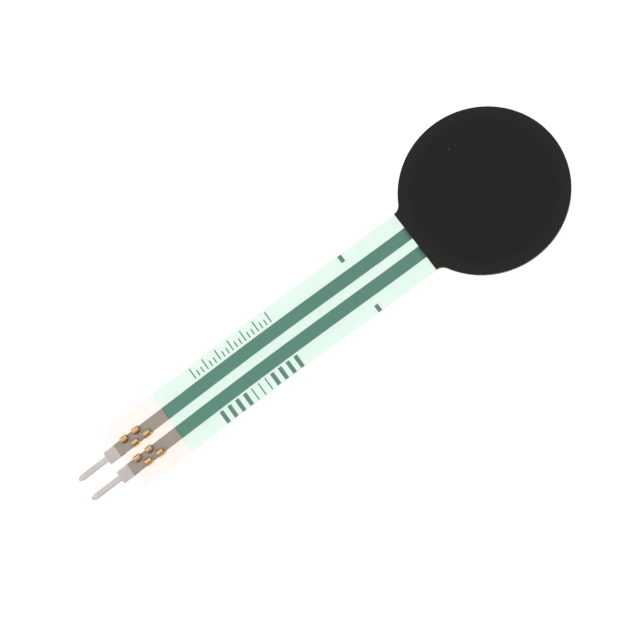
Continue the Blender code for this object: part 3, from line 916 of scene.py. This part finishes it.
def clearFilm():
    look = clearFilmLook
    material, tree, shader, output = newMaterial("clearFilm")
    haze = grain(tree, **look["haze"])
    scratches = grain(tree, **look["scratches"])
    normal = bump(tree, scratches, *look["bump"])
    body = blendColours(tree, haze, *look["body"])
    setSockets(tree, shader, colour=body, roughness=look["bodyRoughness"], normal=normal)
    cut = calc(tree, "LESS_THAN", calc(tree, "ABSOLUTE", facing(tree)[2]), 0.5)
    milky = calc(tree, "MULTIPLY", cut, look["cutShare"])
    share = calc(tree, "ADD", noiseTo(tree, haze, *look["bodyShare"]), milky)
    coated = spread(tree, places(tree)[0], coatEndX - look["tintEdge"], coatEndX + look["tintEdge"])
    tint = blendColours(tree, coated, look["bareTint"], look["coatedTint"])
    roughness = noiseTo(tree, scratches, *look["roughness"])
    seeThrough(tree, shader, output, tint, roughness, look["mirror"], share, normal)
    return material


# Mint coat: a translucent printed varnish, slightly uneven in strength along its print direction
mintCoatLook = {
    "streaks": {"size": 0.5, "stretch": 8.0},
    "fine": {"size": 0.12, "detail": 3.0, "roughness": 0.6},
    "streakShare": 0.6,
    "bump": (0.003, 0.4),
    "tint": (screen(245, 255, 254), screen(242, 255, 252)),
    "body": (screen(206, 244, 226), screen(226, 250, 238)),
    "bodyRoughness": 0.4,
    "bodyShare": 0.03,
    "roughness": (0.16, 0.28),
    "mirror": 0.015,
}


def mintCoat():
    look = mintCoatLook
    material, tree, shader, output = newMaterial("mintCoat")
    fine = grain(tree, **look["fine"])
    strength = mixNoise(tree, look["streakShare"], grain(tree, **look["streaks"]), fine)
    tint = blendColours(tree, noiseTo(tree, strength), *look["tint"])
    body = blendColours(tree, fine, *look["body"])
    normal = bump(tree, fine, *look["bump"])
    setSockets(tree, shader, colour=body, roughness=look["bodyRoughness"], normal=normal)
    roughness = noiseTo(tree, fine, *look["roughness"])
    seeThrough(tree, shader, output, tint, roughness, look["mirror"], look["bodyShare"], normal)
    return material


# Silver ink: flakes in a binder, printed through a mesh. Bare ink is a warm grey on both sides, with a
# paler, yellower painted reflection of the brass round the barbs, which also lightens their shade. Under
# the coat its upper face is soaked with the coat's green and looks much darker, and a painted shadow
# darkens it further where it goes in under the black sheet.
silverInkLook = {
    "flakes": {"size": 0.045, "detail": 3.0, "roughness": 0.7},
    "mottle": {"size": 0.45, "detail": 3.0},
    "flakeShare": 0.5,
    "meshPitch": 0.16 * mm,
    "meshShare": 0.25,
    "bump": (0.004, 0.5),
    "metal": 0.35,
    "roughness": (0.38, 0.55),
    "bare": (screen(154, 143, 132), screen(168, 157, 145)),
    "barbReflection": screen(176, 163, 149),
    "barbReflectionShare": 0.7,
    "barbReflectionHalfLength": (1.0 * mm, 1.7 * mm),
    "barbReflectionHalfWidth": (0.16 * mm, 0.55 * mm),
    "track": (screen(86, 124, 110), screen(96, 134, 120)),
    "marks": screen(107, 129, 116),
    "marksFrom": (2.05 * mm, 2.07 * mm),  # the tracks lie nearer the middle line than this
    "neckShadow": screen(56, 84, 76),
    "neckShadowShare": 0.75,
    "neckShadowLength": 0.60 * mm,
    "coatEdge": 0.01 * mm,
    "soakedPastNeck": 0.3 * mm,
}


def silverInk():
    look = silverInkLook
    material, tree, shader, output = newMaterial("silverInk")
    x, y = places(tree)[:2]
    fromMiddle = calc(tree, "ABSOLUTE", y)
    flakes = grain(tree, **look["flakes"])
    tone = noiseTo(tree, mixNoise(tree, look["flakeShare"], flakes, grain(tree, **look["mottle"])))
    turns = 2 * math.pi / look["meshPitch"]
    waves = [calc(tree, "SINE", calc(tree, "MULTIPLY", value, turns)) for value in (x, y)]
    mesh = calc(tree, "MULTIPLY", *waves)
    height = calc(tree, "ADD", flakes, calc(tree, "MULTIPLY", mesh, look["meshShare"]))

    bare = blendColours(tree, tone, *look["bare"])
    # painted reflection: the bare ink round the barbs is made paler and yellower, lightening their shade
    lastBarb = barb["count"] - 1
    crimpMiddle = filmEndX + barb["firstSetback"] + lastBarb / 2 * barb["spacing"]
    fromCrimp = apart(tree, x, crimpMiddle)
    fromTrack = apart(tree, fromMiddle, contact["trackMiddle"])
    barbReflection = calc(
        tree, "MULTIPLY",
        spread(tree, fromCrimp, *look["barbReflectionHalfLength"], look["barbReflectionShare"], 0.0, smooth=True),
        spread(tree, fromTrack, *look["barbReflectionHalfWidth"], 1.0, 0.0, smooth=True),
    )
    bare = blendColours(tree, barbReflection, bare, look["barbReflection"])

    track = blendColours(tree, tone, *look["track"])
    soaked = blendColours(tree, spread(tree, fromMiddle, *look["marksFrom"]), track, look["marks"])
    # painted shadow: the coated track darkens towards the black sheet's edge, in the shade of its step
    darkFrom = neckX - look["neckShadowLength"]
    dark = spread(tree, x, darkFrom, neckX, 0.0, look["neckShadowShare"], smooth=True)
    soaked = blendColours(tree, dark, soaked, look["neckShadow"])
    coated = spread(tree, x, coatEndX - look["coatEdge"], coatEndX + look["coatEdge"])
    above = calc(tree, "GREATER_THAN", facing(tree)[2], 0.0)
    onTail = calc(tree, "LESS_THAN", x, neckX + look["soakedPastNeck"])
    share = calc(tree, "MULTIPLY", calc(tree, "MULTIPLY", coated, above), onTail)
    setSockets(
        tree, shader, colour=blendColours(tree, share, bare, soaked), metal=look["metal"],
        roughness=noiseTo(tree, flakes, *look["roughness"]), normal=bump(tree, height, *look["bump"]),
    )
    return material


# Adhesive between the films: milky amber, nearly opaque at its edge
adhesiveLook = {
    "cloud": {"size": 0.5, "detail": 4.0},
    "colour": (screen(120, 92, 66), screen(150, 120, 90)),
    "roughness": (0.25, 0.45),
    "bump": (0.01, 0.5),
}


def spacerAdhesive():
    look = adhesiveLook
    material, tree, shader, output = newMaterial("spacerAdhesive")
    cloud = grain(tree, **look["cloud"])
    setSockets(
        tree, shader, colour=blendColours(tree, cloud, *look["colour"]),
        roughness=noiseTo(tree, cloud, *look["roughness"]), normal=bump(tree, cloud, *look["bump"]),
    )
    return material


# Carbon ink: soft dry black with a coarse tooth
carbonInkLook = {
    "tooth": {"size": 0.06, "detail": 4.0, "roughness": 0.7},
    "cloud": {"size": 1.4},
    "colour": (screen(24, 24, 25), screen(37, 37, 38)),
    "gloss": 0.25,
    "roughness": (0.65, 0.85),
    "bump": (0.01, 0.7),
}


def carbonInk():
    look = carbonInkLook
    material, tree, shader, output = newMaterial("carbonInk")
    tooth = grain(tree, **look["tooth"])
    colour = blendColours(tree, grain(tree, **look["cloud"]), *look["colour"])
    setSockets(
        tree, shader, colour=colour, gloss=look["gloss"],
        roughness=noiseTo(tree, tooth, *look["roughness"]), normal=bump(tree, tooth, *look["bump"]),
    )
    return material


# Height over the line that rises from the pins' tips, less a base
def heightOver(tree, x, z, base):
    line = calc(tree, "MULTIPLY", calc(tree, "SUBTRACT", x, pinTipX), contact["slope"])
    return calc(tree, "SUBTRACT", calc(tree, "SUBTRACT", z, line), base)


# Contact metal: tin plate on the flat strip, paler where the pin is worn by rubbing and with a painted shade
# at the pin's rounded rim, and drawn thin to brass on the curled barbs. The crown has a painted highlight,
# the side that turns under a painted shade, and the creases and the ends a brown painted shade.
contactMetalLook = {
    "rolled": {"size": 0.03, "stretch": 10.0},
    "cloud": {"size": 0.35, "detail": 3.0},
    "bump": (0.003, 0.4),
    "roughness": (0.20, 0.36),
    "tin": (screen(190, 182, 179), screen(199, 191, 188)),
    "rubbedTin": (screen(201, 192, 187), screen(211, 202, 197)),
    "rubbedEdge": 0.3 * mm,
    "rimShade": screen(176, 171, 171),
    "rimWidth": 0.16 * mm,
    "tipRimWidth": 0.20 * mm,
    "rimShare": 0.8,
    "brassFrom": (0.03 * mm, 0.10 * mm),  # height over the strip
    "gold": (screen(178, 124, 64), screen(208, 156, 90)),
    "crown": (screen(244, 200, 148), screen(255, 230, 186)),
    "crownFacing": (0.62, 0.95),
    "underShade": screen(176, 130, 76),
    "underShadeFacing": (-0.20, -0.62),
    "underShadeShare": 0.95,
    "brown": screen(98, 64, 32),
    "endFacing": (0.5, 0.9),
    "endShare": 0.6,
    "creaseWidths": (0.4, 1.8),  # times the crease's own half width
    "creaseFacing": (0.3, 0.6),
    "creaseShare": 0.85,
}


def contactMetal():
    look = contactMetalLook
    material, tree, shader, output = newMaterial("contactMetal")
    x, y, z = places(tree)
    rolled = grain(tree, **look["rolled"])
    cloud = grain(tree, **look["cloud"])
    outwards = calc(tree, "SUBTRACT", calc(tree, "ABSOLUTE", y), contact["trackMiddle"])
    fromTrack = calc(tree, "ABSOLUTE", outwards)

    pinEnd, pinHalf = pinTipX + contact["pinLength"], contact["pinHalfWidth"]
    onPin = spread(tree, x, pinEnd - look["rubbedEdge"], pinEnd + look["rubbedEdge"], 1.0, 0.0, smooth=True)
    tin = blendColours(tree, cloud, *look["tin"])
    tin = blendColours(tree, onPin, tin, blendColours(tree, cloud, *look["rubbedTin"]))
    # painted shade: the pin's rounded rim and its tip are darkened towards their edges
    pinRim = spread(tree, fromTrack, pinHalf - look["rimWidth"], pinHalf, 0.0, look["rimShare"], smooth=True)
    tipRim = spread(tree, x, pinTipX, pinTipX + look["tipRimWidth"], look["rimShare"], 0.0, smooth=True)
    rim = calc(tree, "MAXIMUM", calc(tree, "MULTIPLY", pinRim, onPin), tipRim)
    tin = blendColours(tree, rim, tin, look["rimShade"])

    # a face that looks away from its own track's middle has a positive value here
    normalX, normalY, normalZ = facing(tree)
    away = calc(tree, "MULTIPLY", calc(tree, "SIGN", y), calc(tree, "SIGN", outwards))
    away = calc(tree, "MULTIPLY", normalY, away)
    gold = blendColours(tree, rolled, *look["gold"])
    # painted highlight: faces that look up get the paler crown colour
    crown = blendColours(tree, rolled, *look["crown"])
    brass = blendColours(tree, spread(tree, normalZ, *look["crownFacing"], smooth=True), gold, crown)
    # painted shade: faces that turn under towards the track's middle get a darker brass
    under = spread(tree, away, *look["underShadeFacing"], 0.0, look["underShadeShare"], smooth=True)
    brass = blendColours(tree, under, brass, look["underShade"])
    # painted shade: brown on the end faces and along the creases on top
    brown = spread(tree, calc(tree, "ABSOLUTE", normalX), *look["endFacing"], 0.0, look["endShare"])
    onTop = spread(tree, normalZ, *look["creaseFacing"])
    thin, wide = look["creaseWidths"]
    for degrees, depth, width in barb["creases"]:
        place = barb["reach"] - barb["curlRadius"] + barb["curlRadius"] * math.cos(math.radians(degrees))
        fromCrease = apart(tree, fromTrack, place)
        crease = spread(tree, fromCrease, thin * width, wide * width, look["creaseShare"], 0.0, smooth=True)
        brown = calc(tree, "MAXIMUM", brown, calc(tree, "MULTIPLY", crease, onTop))
    brass = blendColours(tree, brown, brass, look["brown"])

    curled = spread(tree, heightOver(tree, x, z, contact["sheet"]), *look["brassFrom"])
    setSockets(
        tree, shader, colour=blendColours(tree, curled, tin, brass), metal=1.0,
        roughness=noiseTo(tree, cloud, *look["roughness"]), normal=bump(tree, rolled, *look["bump"]),
    )
    return material


# Film raised round the slots: strained and less clear than the sheet, and pale yellow as a painted
# reflection of the brass barbs
strainedFilmAndBrassReflectionLook = {
    "haze": {"size": 0.08, "detail": 3.0},
    "bump": (0.004, 0.4),
    "body": (screen(252, 236, 180), screen(255, 246, 208)),
    "bodyRoughness": 0.3,
    "bodyShare": (0.45, 0.75),
    "strainedFrom": 0.7,  # share of the lip's height at which the film is fully strained
    "tint": screen(255, 252, 236),
    "roughness": 0.12,
    "mirror": 0.020,
}


def strainedFilmAndBrassReflection():
    look = strainedFilmAndBrassReflectionLook
    material, tree, shader, output = newMaterial("strainedFilmAndBrassReflection")
    x, _, z = places(tree)
    haze = grain(tree, **look["haze"])
    normal = bump(tree, haze, *look["bump"])
    # painted reflection: the lip's body is pale yellow for the brass light that the barbs throw on it
    body = blendColours(tree, haze, *look["body"])
    setSockets(tree, shader, colour=body, roughness=look["bodyRoughness"], normal=normal)
    filmTop = contact["sheet"] + contact["filmAbove"] + contact["filmThickness"] + lip["clearance"]
    full = look["strainedFrom"] * lip["height"]
    strain = spread(tree, heightOver(tree, x, z, filmTop), 0.0, full, smooth=True)
    share = calc(tree, "MULTIPLY", strain, noiseTo(tree, haze, *look["bodyShare"]))
    seeThrough(tree, shader, output, look["tint"], look["roughness"], look["mirror"], share, normal)
    return material


finishes = {
    "film": clearFilm(),
    "ink": silverInk(),
    "coat": mintCoat(),
    "adhesive": spacerAdhesive(),
    "carbon": carbonInk(),
    "black": mattBlack(),
    "metal": contactMetal(),
    "lips": strainedFilmAndBrassReflection(),
}

# Every solid that isn't named here is printed ink
solidFinishes = {
    "front_film": "film",
    "rear_film": "film",
    "tail_coat": "coat",
    "carbon_layer": "carbon",
    "spacer_ring": "adhesive",
    "backing_sheet": "black",
    "contact_left": "metal",
    "contact_right": "metal",
}


def paint(piece, material):
    piece.data.materials.clear()
    piece.data.materials.append(material)


for name, node in nodes.items():
    paint(node, finishes[solidFinishes.get(name, "ink")])
paint(blackSheetPiece, finishes["black"])
paint(adhesivePiece, finishes["adhesive"])
paint(lipPiece, finishes["lips"])
for piece in contactPieces:
    paint(piece, finishes["metal"])
print("materials given")
